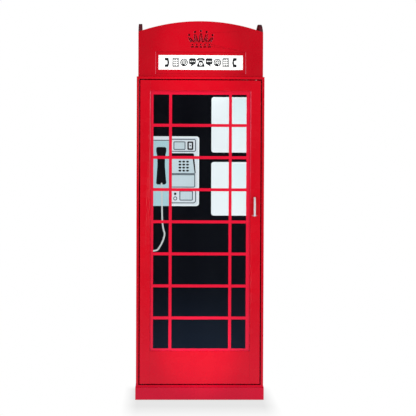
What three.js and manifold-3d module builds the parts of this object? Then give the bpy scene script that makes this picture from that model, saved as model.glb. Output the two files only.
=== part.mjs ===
// A storage cabinet in the shape of a red telephone booth: lacquered boards on a plinth, one hinged door
// with a printed glass panel, and an open canopy of four arched fascias on top.
// Millimetres, +Z up, +X to the right, front towards -Y. The origin is on the floor, at the middle of the box
// that holds the cabinet with its handle.

import * as THREE from "three";
import { ConvexGeometry } from "three/addons/geometries/ConvexGeometry.js";
import { mergeVertices } from "three/addons/utils/BufferGeometryUtils.js";
import Module from "manifold-3d";

const wasm = await Module();
wasm.setup();

// ---------------------------------------------------------------- driving dimensions

// Overall
const HEIGHT = 1800; // floor to the top of the arches
const BODY_WIDTH = 606; // over the side panels
const BODY_DEPTH = 397; // front edge of the side panels to the back
const CANOPY_HEIGHT = 263; // top board to the top of the arches
const PLINTH_HEIGHT = 71;

// Boards
const BOARD = 12; // carcass, plinth and shelf boards
const BACK_THICKNESS = 5;
const FASCIA_THICKNESS = 10; // front and rear
const SIDE_FASCIA_THICKNESS = 16;
const PLINTH_STEP = 3; // how far the plinth stands proud of the body
const CANOPY_INSET = 7; // how far the fascias stand back from the body
const ARCH_RISE = 51;

// Fits
const JOINT_GAP = 0.3; // between pieces that touch
const DOOR_GAP = 4.8; // round the door
const GLASS_FIT = 1; // between the glass and the rebate's wall
const RUNNING_FIT = 0.05; // radial, pivot pin in bush

// Door
const DOOR_THICKNESS = 18;
const STILE_WIDTH = 48.5;
const TOP_RAIL_HEIGHT = 50;
const BOTTOM_RAIL_HEIGHT = 157;
const LIP_DEPTH = 5; // frame in front of the glass
const REBATE_WIDTH = 10; // frame's overlap on the glass
const GLASS_THICKNESS = 4;
const PRINT_SPACE = 0.6; // between the glass and its backing sheet
const BACKING_THICKNESS = 1;
const BEAD_WIDTH = 12;

// Pivot hinge
const PIVOT_INSET = 13; // axis to the door's edge
const PIN_RADIUS = 4;
const PIN_DEPTH = 24; // in the stile
const COLLAR_RADIUS = 6.5;
const BUSH_RADIUS = 7;
const BUSH_FLANGE_RADIUS = 9;
const BUSH_FLANGE = 1.8;
const BOARD_LEFT_OVER_BUSH = 2.7;

// Handle
const HANDLE_HEIGHT = 921; // floor to its middle
const HANDLE_INSET = 28; // its middle to the door's lock edge
const HANDLE_LENGTH = 93;
const HANDLE_WIDTH = 9.5;
const HANDLE_REACH = 26;
const HANDLE_GRIP = 4.5;
const HANDLE_LEG = 9;
const HANDLE_CORNER = 12;

// Sign and emblem in the front fascia
const SIGN_BASE = 13; // above the top board
const SIGN_HEIGHT = 104;
const SIGN_SIDE_MARGIN = 83.5; // fascia's edge to the sign
const SIGN_POCKET = 5;
const SIGN_PLATE_THICKNESS = 2;
const SIGN_PANEL_THICKNESS = 1.2;
const SIGN_PANEL_SIDE = 12.5; // red margins round the white panel
const SIGN_PANEL_BELOW = 19.8;
const SIGN_PANEL_ABOVE = 15.7;
const EMBLEM_BELOW = 21; // above the sign
const EMBLEM_ABOVE = 29; // below the top of the arch
const EMBLEM_BACKING_THICKNESS = 3;
const EMBLEM_BACKING_MARGIN = 8;

// Shelves
const SHELF_COUNT = 4;
const SHELF_SIDE_CLEARANCE = 3.3;
const SHELF_DOOR_CLEARANCE = 12;
const SHELF_PIN_SETBACK = 40; // pins to the shelf's front and back edges
const SHELF_PIN_RADIUS = 2.5;
const SHELF_PIN_REACH = 12;
const SHELF_PIN_COLLAR_RADIUS = 4;
const SHELF_PIN_COLLAR = 2;
const BOARD_LEFT_BEHIND_PIN = 4;

// Small hardware
const CATCH = { fromLockEdge: 78, width: 40, depth: 14, height: 12, screwSpacing: 26 };
const CATCH_AIR = 0.5; // between the catch and the strike plate
const STRIKE = { width: 30, height: 12, thickness: 1.2, belowEdge: 1.5 };
const BUFFER = { fromLockEdge: 23, fromFront: 5, radius: 3, height: 2.4 };
const HANDLE_SCREW = { shank: 2, head: 4, headHeight: 2.4, bite: 10 };
const CATCH_SCREW = { shank: 1.5, head: 2.9, headHeight: 1.8, bite: 8 };
const SCREW_RECESS = 0.9; // width of a cross slot, as a share of the head's height

const SMALL_FACETS = 14;
const PIVOT_FACETS = 32;
const ARCH_SEGMENTS = 24;
const CORNER_SEGMENTS = 6;

// ---------------------------------------------------------------- places worked out from them

const overallDepth = BODY_DEPTH + JOINT_GAP + HANDLE_REACH;
const bodyBack = overallDepth / 2;
const bodyFront = bodyBack - BODY_DEPTH;
const plinthFront = bodyFront - PLINTH_STEP;
const plinthHalf = BODY_WIDTH / 2 + PLINTH_STEP;
const bodyTop = HEIGHT - CANOPY_HEIGHT;
const innerHalf = BODY_WIDTH / 2 - BOARD;
const topUnderside = bodyTop - BOARD;

const doorWidth = 2 * (innerHalf - DOOR_GAP);
const doorBottom = PLINTH_HEIGHT + DOOR_GAP;
const doorHeight = topUnderside - DOOR_GAP - doorBottom;
const doorBack = bodyFront + DOOR_THICKNESS;
const pivotX = -innerHalf + DOOR_GAP + PIVOT_INSET;
const pivotY = bodyFront + DOOR_THICKNESS / 2;
const lockEdge = innerHalf - DOOR_GAP;

const bushLength = BOARD - BOARD_LEFT_OVER_BUSH;
const shelfFront = doorBack + SHELF_DOOR_CLEARANCE;
const shelfBack = bodyBack - BACK_THICKNESS - 2 * JOINT_GAP;
const shelfPinYs = { front: shelfFront + SHELF_PIN_SETBACK, back: shelfBack - SHELF_PIN_SETBACK };
const bayHeight = (topUnderside - PLINTH_HEIGHT - SHELF_COUNT * BOARD) / (SHELF_COUNT + 1);
const shelfBottoms = Array.from(
  { length: SHELF_COUNT },
  (_, i) => PLINTH_HEIGHT + (i + 1) * bayHeight + i * BOARD,
);
const shelfPinHeights = shelfBottoms.map((z) => z - JOINT_GAP - SHELF_PIN_RADIUS);
const shelfPinDepth = BOARD - BOARD_LEFT_BEHIND_PIN;

const catchX = lockEdge - CATCH.fromLockEdge;
const catchFront = doorBack + JOINT_GAP + STRIKE.thickness + CATCH_AIR;
const catchTop = topUnderside - JOINT_GAP;
const catchScrewXs = {
  left: catchX - CATCH.screwSpacing / 2,
  right: catchX + CATCH.screwSpacing / 2,
};
const catchScrewY = catchFront + CATCH.depth / 2;

// ---------------------------------------------------------------- finishes

const FINISHES = {
  redLacquer: { color: 0xd0021f, roughness: 0.28, metalness: 0 },
  glass: { color: 0xdfe8ea, roughness: 0.04, metalness: 0, transparent: true, opacity: 0.25 },
  printedSheet: { color: 0x0c0b10, roughness: 0.5, metalness: 0 },
  whiteSign: { color: 0xf6f6f2, roughness: 0.35, metalness: 0 },
  blackSteel: { color: 0x1a1112, roughness: 0.6, metalness: 0.3 },
  polishedSteel: { color: 0xd9dadd, roughness: 0.15, metalness: 1 },
  zincSteel: { color: 0xb4b6ba, roughness: 0.35, metalness: 1 },
  whitePlastic: { color: 0xececea, roughness: 0.45, metalness: 0 },
};

// ---------------------------------------------------------------- geometry helpers

function toSolid(geometry) {
  const bare = geometry.index ? geometry.toNonIndexed() : geometry.clone();
  for (const name of Object.keys(bare.attributes)) {
    if (name !== "position") bare.deleteAttribute(name);
  }
  const merged = mergeVertices(bare, 1e-4);
  return new wasm.Manifold(
    new wasm.Mesh({
      numProp: 3,
      vertProperties: merged.attributes.position.array,
      triVerts: new Uint32Array(merged.index.array),
    }),
  );
}

function toGeometry(solid) {
  const mesh = solid.getMesh();
  const geometry = new THREE.BufferGeometry();
  geometry.setAttribute("position", new THREE.BufferAttribute(mesh.vertProperties, 3));
  geometry.setIndex(new THREE.BufferAttribute(mesh.triVerts, 1));
  const faceted = geometry.toNonIndexed();
  faceted.computeVertexNormals();
  return faceted;
}

function cut(blank, cutters) {
  const solid = cutters.reduce((left, cutter) => left.subtract(toSolid(cutter)), toSolid(blank));
  return toGeometry(solid);
}

// A box between two values on each axis.
function block([x0, x1], [y0, y1], [z0, z1]) {
  const geometry = new THREE.BoxGeometry(x1 - x0, y1 - y0, z1 - z0);
  return geometry.translate((x0 + x1) / 2, (y0 + y1) / 2, (z0 + z1) / 2);
}

const X_AXIS = new THREE.Vector3(1, 0, 0);
const Y_AXIS = new THREE.Vector3(0, 1, 0);
const Z_AXIS = new THREE.Vector3(0, 0, 1);

// A round bar or drill from a start point, along an axis.
function rod(start, axis, radius, length, facets = SMALL_FACETS) {
  const geometry = new THREE.CylinderGeometry(radius, radius, length, facets);
  geometry.translate(0, length / 2, 0);
  geometry.applyQuaternion(new THREE.Quaternion().setFromUnitVectors(Y_AXIS, axis));
  return geometry.translate(...start);
}

// A turned piece: [radius, height] points from the lower end to the upper one, along +Z.
function turned(profile, facets = SMALL_FACETS) {
  const points = profile.map(([radius, height]) => new THREE.Vector2(radius, height));
  return new THREE.LatheGeometry(points, facets).rotateX(Math.PI / 2);
}

// A cross-head screw: its head is below z = 0 and its shank runs up from there.
function screw({ shank, head, headHeight }, shankLength) {
  const blank = turned([
    [0, -headHeight],
    [head * 0.8, -headHeight],
    [head, -headHeight * 0.6],
    [head, 0],
    [shank, 0],
    [shank, shankLength],
    [0, shankLength],
  ]);
  const slot = (headHeight * SCREW_RECESS) / 4;
  const arm = head * 0.55;
  const deep = [-headHeight - 1, -headHeight * 0.45];
  return cut(blank, [
    block([-arm, arm], [-slot, slot], deep),
    block([-slot, slot], [-arm, arm], deep),
  ]);
}

// A board with a segmental arch on top. The arch spans halfChord each way; the board may stop short of it.
function archShape(halfChord, halfWidth, cornerHeight) {
  const radius = (halfChord ** 2 + ARCH_RISE ** 2) / (2 * ARCH_RISE);
  const centre = cornerHeight + ARCH_RISE - radius;
  const start = Math.acos(halfWidth / radius);
  const shape = new THREE.Shape();
  shape.moveTo(-halfWidth, 0);
  shape.lineTo(halfWidth, 0);
  shape.absarc(0, centre, radius, start, Math.PI - start, false);
  return shape;
}

// Extrudes an outline drawn as (x, z), seen from the front, from y = 0 back to y = depth.
function extrudeBack(shape, depth) {
  const geometry = new THREE.ExtrudeGeometry(shape, {
    depth,
    bevelEnabled: false,
    curveSegments: ARCH_SEGMENTS,
  });
  return geometry.rotateX(Math.PI / 2).translate(0, depth, 0);
}

// ---------------------------------------------------------------- scene graph helpers

const cabinet = new THREE.Group();
const door = new THREE.Group();
const canopy = new THREE.Group();
door.position.set(pivotX, pivotY, doorBottom);
canopy.position.set(0, bodyFront + CANOPY_INSET, bodyTop + JOINT_GAP);
cabinet.add(door, canopy);

function add(group, name, geometry, finish, position = [0, 0, 0]) {
  const mesh = new THREE.Mesh(geometry, new THREE.MeshStandardMaterial(FINISHES[finish]));
  mesh.name = name;
  mesh.position.set(...position);
  group.add(mesh);
  return mesh;
}

// ---------------------------------------------------------------- plinth and carcass

function addPlinth() {
  const tall = [0, PLINTH_HEIGHT - BOARD - JOINT_GAP];
  const full = [-plinthHalf, plinthHalf];
  const between = [plinthFront + BOARD + JOINT_GAP, bodyBack - BOARD - JOINT_GAP];
  const boards = {
    plinth_front_board: block(full, [plinthFront, plinthFront + BOARD], tall),
    plinth_rear_board: block(full, [bodyBack - BOARD, bodyBack], tall),
    plinth_left_board: block([-plinthHalf, -plinthHalf + BOARD], between, tall),
    plinth_right_board: block([plinthHalf - BOARD, plinthHalf], between, tall),
  };
  for (const [name, geometry] of Object.entries(boards)) add(cabinet, name, geometry, "redLacquer");
}

// The bottom board lies on the plinth, and its edges slope from the plinth's outline to the body's.
function addBottomBoard() {
  const corners = [];
  for (const side of [-1, 1]) {
    for (const [half, front, z] of [
      [plinthHalf, plinthFront, PLINTH_HEIGHT - BOARD],
      [BODY_WIDTH / 2, bodyFront, PLINTH_HEIGHT],
    ]) {
      corners.push(new THREE.Vector3(side * half, front, z));
      corners.push(new THREE.Vector3(side * half, bodyBack, z));
    }
  }
  const bottom = [pivotX, pivotY, PLINTH_HEIGHT - bushLength - JOINT_GAP];
  const bushHole = rod(bottom, Z_AXIS, BUSH_RADIUS + JOINT_GAP, BOARD);
  add(cabinet, "bottom_board", cut(new ConvexGeometry(corners), [bushHole]), "redLacquer");
}

function addSidePanels() {
  for (const [name, side] of [["left_side_panel", -1], ["right_side_panel", 1]]) {
    const faces = [side * innerHalf, side * (innerHalf + BOARD)].sort((a, b) => a - b);
    const panel = block(
      faces,
      [bodyFront, bodyBack],
      [PLINTH_HEIGHT + JOINT_GAP, topUnderside - JOINT_GAP],
    );
    const axis = X_AXIS.clone().multiplyScalar(side);
    const holes = shelfPinHeights.flatMap((z) =>
      Object.values(shelfPinYs).map((y) =>
        rod(
          [side * (innerHalf - 1), y, z],
          axis,
          SHELF_PIN_RADIUS + JOINT_GAP,
          shelfPinDepth + 1 + JOINT_GAP,
        ),
      ),
    );
    add(cabinet, name, cut(panel, holes), "redLacquer");
  }
}

function addTopAndBack() {
  const half = BODY_WIDTH / 2;
  const board = block([-half, half], [bodyFront, bodyBack], [topUnderside, bodyTop]);
  const holes = [
    rod(
      [pivotX, pivotY, topUnderside - 1],
      Z_AXIS,
      BUSH_RADIUS + JOINT_GAP,
      bushLength + 1 + JOINT_GAP,
    ),
  ];
  for (const x of Object.values(catchScrewXs)) {
    const depth = CATCH_SCREW.bite + 1 + JOINT_GAP;
    const radius = CATCH_SCREW.shank + JOINT_GAP;
    holes.push(rod([x, catchScrewY, topUnderside - 1], Z_AXIS, radius, depth));
  }
  add(cabinet, "top_board", cut(board, holes), "redLacquer");

  const backHalf = innerHalf - JOINT_GAP;
  const back = block(
    [-backHalf, backHalf],
    [bodyBack - BACK_THICKNESS, bodyBack],
    [PLINTH_HEIGHT + JOINT_GAP, topUnderside - JOINT_GAP],
  );
  add(cabinet, "back_panel", back, "redLacquer");
}

function addShelves() {
  const half = innerHalf - SHELF_SIDE_CLEARANCE;
  const pinGeometry = turned([
    [0, -shelfPinDepth],
    [SHELF_PIN_RADIUS, -shelfPinDepth],
    [SHELF_PIN_RADIUS, JOINT_GAP],
    [SHELF_PIN_COLLAR_RADIUS, JOINT_GAP],
    [SHELF_PIN_COLLAR_RADIUS, JOINT_GAP + SHELF_PIN_COLLAR],
    [SHELF_PIN_RADIUS, JOINT_GAP + SHELF_PIN_COLLAR],
    [SHELF_PIN_RADIUS, SHELF_PIN_REACH],
    [0, SHELF_PIN_REACH],
  ]);
  shelfBottoms.forEach((z, i) => {
    const shelf = `shelf_${i + 1}`;
    const board = block([-half, half], [shelfFront, shelfBack], [z, z + BOARD]);
    add(cabinet, shelf, board, "redLacquer");
    for (const [sideName, side] of [["left", -1], ["right", 1]]) {
      for (const [endName, y] of Object.entries(shelfPinYs)) {
        const name = `${shelf}_pin_${sideName}_${endName}`;
        const place = [side * innerHalf, y, shelfPinHeights[i]];
        const pin = add(cabinet, name, pinGeometry.clone(), "zincSteel", place);
        pin.rotation.y = (-side * Math.PI) / 2;
      }
    }
  });
}

// ---------------------------------------------------------------- canopy, in its own group

const canopyHalf = BODY_WIDTH / 2 - CANOPY_INSET;
const canopyDepth = BODY_DEPTH - 2 * CANOPY_INSET;
const cornerHeight = CANOPY_HEIGHT - ARCH_RISE - JOINT_GAP;
const signHalf = canopyHalf - SIGN_SIDE_MARGIN;
const signZs = [SIGN_BASE, SIGN_BASE + SIGN_HEIGHT];
const emblemBase = SIGN_BASE + SIGN_HEIGHT + EMBLEM_BELOW;
const emblemHeight = CANOPY_HEIGHT - JOINT_GAP - EMBLEM_ABOVE - emblemBase;

// A simple five-point coronet, drawn as stencil slots in units of its own height.
function coronetHoles() {
  const u = emblemHeight / 100;
  const through = FASCIA_THICKNESS + 2;
  const at = (x, z) => new THREE.Vector2(x * u, emblemBase + z * u);
  const polygon = (...points) =>
    extrudeBack(new THREE.Shape(points.map(([x, z]) => at(x, z))), through).translate(0, -1, 0);
  const disc = (x, z, radius) => {
    const centre = at(x, z);
    return rod([centre.x, -1, centre.y], Y_AXIS, radius * u, through);
  };
  // A straight slot of even width between two points.
  const slot = ([x0, z0], [x1, z1], width) => {
    const length = Math.hypot(x1 - x0, z1 - z0);
    const dx = ((z1 - z0) / length) * (width / 2);
    const dz = (-(x1 - x0) / length) * (width / 2);
    return polygon([x0 + dx, z0 + dz], [x1 + dx, z1 + dz], [x1 - dx, z1 - dz], [x0 - dx, z0 - dz]);
  };
  const holes = [];
  for (let i = -2; i <= 2; i += 1) {
    const foot = 21 * i;
    const tip = 29 * i;
    const tipHeight = 84 - 5 * i * i;
    const shoulder = tipHeight - 14;
    const along = (share) => [foot + (tip - foot) * share, 26 + (shoulder - 26) * share];
    holes.push(slot([foot - 7.5, 3], [foot + 7.5, 3], 5.5));
    holes.push(disc(foot, 14, 3.6));
    holes.push(slot([foot - 8, 26], [tip - 3, shoulder], 4));
    holes.push(slot([foot + 8, 26], [tip + 3, shoulder], 4));
    holes.push(slot(along(0.08), along(0.5), 3.4));
    holes.push(disc(tip, tipHeight - 2, 5));
  }
  return holes;
}

function addFascias() {
  const wide = extrudeBack(archShape(canopyHalf, canopyHalf, cornerHeight), FASCIA_THICKNESS);
  const pocket = block([-signHalf, signHalf], [-1, SIGN_POCKET], signZs);
  add(canopy, "front_fascia", cut(wide, [pocket, ...coronetHoles()]), "redLacquer");
  const rearPlace = [0, canopyDepth - FASCIA_THICKNESS, 0];
  add(canopy, "rear_fascia", wide.clone(), "redLacquer", rearPlace);

  const sideHalf = canopyDepth / 2 - FASCIA_THICKNESS - JOINT_GAP;
  for (const [name, side] of [["left_fascia", -1], ["right_fascia", 1]]) {
    const outline = archShape(canopyDepth / 2, sideHalf, cornerHeight);
    const fascia = extrudeBack(outline, SIDE_FASCIA_THICKNESS);
    fascia.translate(0, -SIDE_FASCIA_THICKNESS / 2, 0);
    const centreX = side * (canopyHalf - SIDE_FASCIA_THICKNESS / 2);
    add(canopy, name, fascia, "redLacquer", [centreX, canopyDepth / 2, 0]).rotation.z = Math.PI / 2;
  }
}

function addSign() {
  const plateBack = SIGN_POCKET - JOINT_GAP;
  const plateFront = plateBack - SIGN_PLATE_THICKNESS;
  const half = signHalf - JOINT_GAP;
  const plateZs = [signZs[0] + JOINT_GAP, signZs[1] - JOINT_GAP];
  add(canopy, "sign_plate", block([-half, half], [plateFront, plateBack], plateZs), "redLacquer");

  const panelHalf = signHalf - SIGN_PANEL_SIDE;
  const panelBack = plateFront - JOINT_GAP;
  const panel = block(
    [-panelHalf, panelHalf],
    [panelBack - SIGN_PANEL_THICKNESS, panelBack],
    [signZs[0] + SIGN_PANEL_BELOW, signZs[1] - SIGN_PANEL_ABOVE],
  );
  add(canopy, "sign_panel", panel, "whiteSign");
}

function addEmblemBacking() {
  const half = 0.72 * emblemHeight + EMBLEM_BACKING_MARGIN;
  const front = FASCIA_THICKNESS + JOINT_GAP;
  const plate = block(
    [-half, half],
    [front, front + EMBLEM_BACKING_THICKNESS],
    [emblemBase - EMBLEM_BACKING_MARGIN, emblemBase + emblemHeight],
  );
  add(canopy, "emblem_backing_plate", plate, "blackSteel");
}

// ---------------------------------------------------------------- door, in a group on the pivot axis

const doorLeft = -PIVOT_INSET;
const doorRight = doorWidth - PIVOT_INSET;
const doorYs = [-DOOR_THICKNESS / 2, DOOR_THICKNESS / 2];
const lipBack = doorYs[0] + LIP_DEPTH;
const sight = {
  x: [doorLeft + STILE_WIDTH, doorRight - STILE_WIDTH],
  z: [BOTTOM_RAIL_HEIGHT, doorHeight - TOP_RAIL_HEIGHT],
};
const grow = ([low, high], by) => [low - by, high + by];
const rebate = { x: grow(sight.x, REBATE_WIDTH), z: grow(sight.z, REBATE_WIDTH) };
const handleX = doorRight - HANDLE_INSET;
const handleZ = HANDLE_HEIGHT - doorBottom;
const handleScrewZs = {
  lower: handleZ - HANDLE_LENGTH / 2 + HANDLE_LEG / 2,
  upper: handleZ + HANDLE_LENGTH / 2 - HANDLE_LEG / 2,
};

function addDoorFrame() {
  const pocket = block(rebate.x, [lipBack, doorYs[1] + 1], rebate.z);
  const railZs = {
    bottom: [0, BOTTOM_RAIL_HEIGHT],
    top: [doorHeight - TOP_RAIL_HEIGHT, doorHeight],
  };
  // The stiles are cut back by the joint's gap where the rails meet them.
  const joints = Object.values(railZs).map((z) =>
    block(grow(sight.x, JOINT_GAP), grow(doorYs, 1), grow(z, JOINT_GAP)),
  );
  const pinHole = (z) => rod([0, 0, z], Z_AXIS, PIN_RADIUS + JOINT_GAP, PIN_DEPTH + JOINT_GAP + 1);
  const screwHole = (z) =>
    rod([handleX, doorYs[0] - 1, z], Y_AXIS, HANDLE_SCREW.shank + JOINT_GAP, DOOR_THICKNESS + 2);
  const tall = [0, doorHeight];

  const hingeStile = block([doorLeft, doorLeft + STILE_WIDTH], doorYs, tall);
  const pinHoles = [pinHole(-1), pinHole(doorHeight - PIN_DEPTH - JOINT_GAP)];
  add(door, "door_hinge_stile", cut(hingeStile, [pocket, ...joints, ...pinHoles]), "redLacquer");

  const lockStile = block([doorRight - STILE_WIDTH, doorRight], doorYs, tall);
  const screwHoles = Object.values(handleScrewZs).map(screwHole);
  add(door, "door_lock_stile", cut(lockStile, [pocket, ...joints, ...screwHoles]), "redLacquer");

  for (const [name, z] of Object.entries(railZs)) {
    add(door, `door_${name}_rail`, cut(block(sight.x, doorYs, z), [pocket]), "redLacquer");
  }
}

function addGlazing() {
  const x = grow(rebate.x, -GLASS_FIT);
  const z = grow(rebate.z, -GLASS_FIT);
  const glassFront = lipBack + JOINT_GAP;
  const glassBack = glassFront + GLASS_THICKNESS;
  const backingFront = glassBack + PRINT_SPACE;
  const backingBack = backingFront + BACKING_THICKNESS;
  add(door, "glass_pane", block(x, [glassFront, glassBack], z), "glass");
  add(door, "printed_backing_sheet", block(x, [backingFront, backingBack], z), "printedSheet");

  const y = [backingBack + JOINT_GAP, doorYs[1]];
  const betweenX = grow(x, -BEAD_WIDTH - JOINT_GAP);
  const beads = {
    left: block([x[0], x[0] + BEAD_WIDTH], y, z),
    right: block([x[1] - BEAD_WIDTH, x[1]], y, z),
    lower: block(betweenX, y, [z[0], z[0] + BEAD_WIDTH]),
    upper: block(betweenX, y, [z[1] - BEAD_WIDTH, z[1]]),
  };
  for (const [name, geometry] of Object.entries(beads)) {
    add(door, `glazing_bead_${name}`, geometry, "redLacquer");
  }
}

function addHandle() {
  const half = HANDLE_LENGTH / 2;
  const innerHalfLength = half - HANDLE_LEG;
  const innerReach = HANDLE_REACH - HANDLE_GRIP;
  const innerCorner = HANDLE_CORNER - HANDLE_GRIP;
  const right = Math.PI / 2;
  const bow = new THREE.Shape();
  bow.moveTo(0, -half);
  bow.absarc(HANDLE_REACH - HANDLE_CORNER, HANDLE_CORNER - half, HANDLE_CORNER, -right, 0, false);
  bow.absarc(HANDLE_REACH - HANDLE_CORNER, half - HANDLE_CORNER, HANDLE_CORNER, 0, right, false);
  bow.lineTo(0, half);
  bow.lineTo(0, innerHalfLength);
  bow.absarc(innerReach - innerCorner, innerHalfLength - innerCorner, innerCorner, right, 0, true);
  bow.absarc(innerReach - innerCorner, innerCorner - innerHalfLength, innerCorner, 0, -right, true);
  bow.lineTo(0, -innerHalfLength);
  const blank = new THREE.ExtrudeGeometry(bow, {
    depth: HANDLE_WIDTH,
    bevelEnabled: false,
    curveSegments: CORNER_SEGMENTS,
  });
  // The outline's reach points to the front and its length up.
  blank.translate(0, 0, -HANDLE_WIDTH / 2);
  blank.applyMatrix4(
    new THREE.Matrix4().makeBasis(Y_AXIS.clone().negate(), Z_AXIS, X_AXIS.clone().negate()),
  );
  const bite = HANDLE_SCREW.bite + JOINT_GAP;
  const radius = HANDLE_SCREW.shank + JOINT_GAP;
  const bores = Object.values(handleScrewZs).map((z) =>
    rod([0, -bite, z - handleZ], Y_AXIS, radius, bite + 1),
  );
  const seat = [handleX, doorYs[0] - JOINT_GAP, handleZ];
  add(door, "door_handle", cut(blank, bores), "polishedSteel", seat);

  const shankLength = DOOR_THICKNESS + 2 * JOINT_GAP + HANDLE_SCREW.bite - JOINT_GAP;
  for (const [name, z] of Object.entries(handleScrewZs)) {
    const place = [handleX, doorYs[1] + JOINT_GAP, z];
    const geometry = screw(HANDLE_SCREW, shankLength);
    add(door, `handle_screw_${name}`, geometry, "zincSteel", place).rotation.x = Math.PI / 2;
  }
}

// ---------------------------------------------------------------- pivots, catch and buffer

// One pin and one bush, drawn as the lower pair: the pin points down from the door into the bush.
function pivotPin() {
  const collar = DOOR_GAP - BUSH_FLANGE - 2 * JOINT_GAP;
  const journal = BUSH_FLANGE + bushLength - 2 * JOINT_GAP;
  return turned(
    [
      [0, -JOINT_GAP - collar - journal],
      [PIN_RADIUS, -JOINT_GAP - collar - journal],
      [PIN_RADIUS, -JOINT_GAP - collar],
      [COLLAR_RADIUS, -JOINT_GAP - collar],
      [COLLAR_RADIUS, -JOINT_GAP],
      [PIN_RADIUS, -JOINT_GAP],
      [PIN_RADIUS, PIN_DEPTH],
      [0, PIN_DEPTH],
    ],
    PIVOT_FACETS,
  );
}

function pivotBush() {
  const bore = (PIN_RADIUS + RUNNING_FIT) / Math.cos(Math.PI / PIVOT_FACETS);
  return turned(
    [
      [bore, -bushLength],
      [BUSH_RADIUS, -bushLength],
      [BUSH_RADIUS, JOINT_GAP],
      [BUSH_FLANGE_RADIUS, JOINT_GAP],
      [BUSH_FLANGE_RADIUS, BUSH_FLANGE],
      [bore, BUSH_FLANGE],
      [bore, -bushLength],
    ],
    PIVOT_FACETS,
  );
}

function addPivots() {
  add(door, "pivot_pin_lower", pivotPin(), "blackSteel");
  const upperPin = add(door, "pivot_pin_upper", pivotPin(), "blackSteel", [0, 0, doorHeight]);
  upperPin.rotation.x = Math.PI;

  add(cabinet, "pivot_bush_lower", pivotBush(), "blackSteel", [pivotX, pivotY, PLINTH_HEIGHT]);
  const top = [pivotX, pivotY, topUnderside];
  add(cabinet, "pivot_bush_upper", pivotBush(), "blackSteel", top).rotation.x = Math.PI;
}

function addCatch() {
  const housing = block(
    [catchX - CATCH.width / 2, catchX + CATCH.width / 2],
    [catchFront, catchFront + CATCH.depth],
    [catchTop - CATCH.height, catchTop],
  );
  const radius = CATCH_SCREW.shank + JOINT_GAP;
  const bores = Object.values(catchScrewXs).map((x) =>
    rod([x, catchScrewY, catchTop - CATCH.height - 1], Z_AXIS, radius, CATCH.height + 2),
  );
  add(cabinet, "magnetic_catch", cut(housing, bores), "whitePlastic");

  const shankLength = CATCH.height + 2 * JOINT_GAP + CATCH_SCREW.bite - JOINT_GAP;
  for (const [name, x] of Object.entries(catchScrewXs)) {
    const place = [x, catchScrewY, catchTop - CATCH.height - JOINT_GAP];
    const geometry = screw(CATCH_SCREW, shankLength);
    add(cabinet, `catch_screw_${name}`, geometry, "zincSteel", place);
  }
}

function addStrikeAndBuffer() {
  const x = doorRight - CATCH.fromLockEdge;
  const top = doorHeight - STRIKE.belowEdge;
  const back = doorYs[1] + JOINT_GAP;
  const plate = block(
    [x - STRIKE.width / 2, x + STRIKE.width / 2],
    [back, back + STRIKE.thickness],
    [top - STRIKE.height, top],
  );
  add(door, "strike_plate", plate, "zincSteel");

  const seat = [doorRight - BUFFER.fromLockEdge, doorYs[0] + BUFFER.fromFront, doorHeight + JOINT_GAP];
  const dome = turned([
    [0, 0],
    [BUFFER.radius, 0],
    [BUFFER.radius, BUFFER.height * 0.55],
    [BUFFER.radius * 0.6, BUFFER.height],
    [0, BUFFER.height],
  ]);
  add(door, "door_buffer", dome, "whitePlastic", seat);
}

addPlinth();
addBottomBoard();
addSidePanels();
addTopAndBack();
addShelves();
addFascias();
addSign();
addEmblemBacking();
addDoorFrame();
addGlazing();
addHandle();
addPivots();
addCatch();
addStrikeAndBuffer();

export default cabinet;
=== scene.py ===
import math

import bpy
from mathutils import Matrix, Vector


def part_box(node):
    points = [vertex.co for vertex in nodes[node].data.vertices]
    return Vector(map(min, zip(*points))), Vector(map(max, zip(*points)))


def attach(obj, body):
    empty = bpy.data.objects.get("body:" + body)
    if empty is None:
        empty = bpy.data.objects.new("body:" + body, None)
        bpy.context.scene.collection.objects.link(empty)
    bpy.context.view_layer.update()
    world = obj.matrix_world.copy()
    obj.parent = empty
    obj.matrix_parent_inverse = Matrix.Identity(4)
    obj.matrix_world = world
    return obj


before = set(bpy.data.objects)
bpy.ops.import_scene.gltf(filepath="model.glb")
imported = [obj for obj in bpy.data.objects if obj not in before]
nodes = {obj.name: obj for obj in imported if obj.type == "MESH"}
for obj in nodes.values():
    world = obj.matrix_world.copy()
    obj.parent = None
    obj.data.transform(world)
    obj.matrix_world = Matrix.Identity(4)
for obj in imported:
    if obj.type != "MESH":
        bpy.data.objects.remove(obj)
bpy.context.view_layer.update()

# Looks of a red lacquered cabinet in the shape of a telephone booth. Every solid board and fitting is the
# CAD node itself, with rounded edges and a procedural finish. The artwork behind the glass and the sign's
# pictograms are thin printed layers made here. Metres; the helpers that draw artwork take millimetres.

MM = 0.001


# ---------------------------------------------------------------- node trees

def join(tree, value, socket):
    """Sets a socket from a number or a colour, or links another node's output to it."""
    if isinstance(value, (int, float)):
        socket.default_value = value
    elif isinstance(value, tuple):
        socket.default_value = (*value, 1.0)
    else:
        tree.links.new(value, socket)


def add_maths(tree, operation, a, b=0.0):
    """A math node's output. a and b are numbers or sockets."""
    node = tree.nodes.new("ShaderNodeMath")
    node.operation = operation
    join(tree, a, node.inputs[0])
    join(tree, b, node.inputs[1])
    return node.outputs[0]


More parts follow.
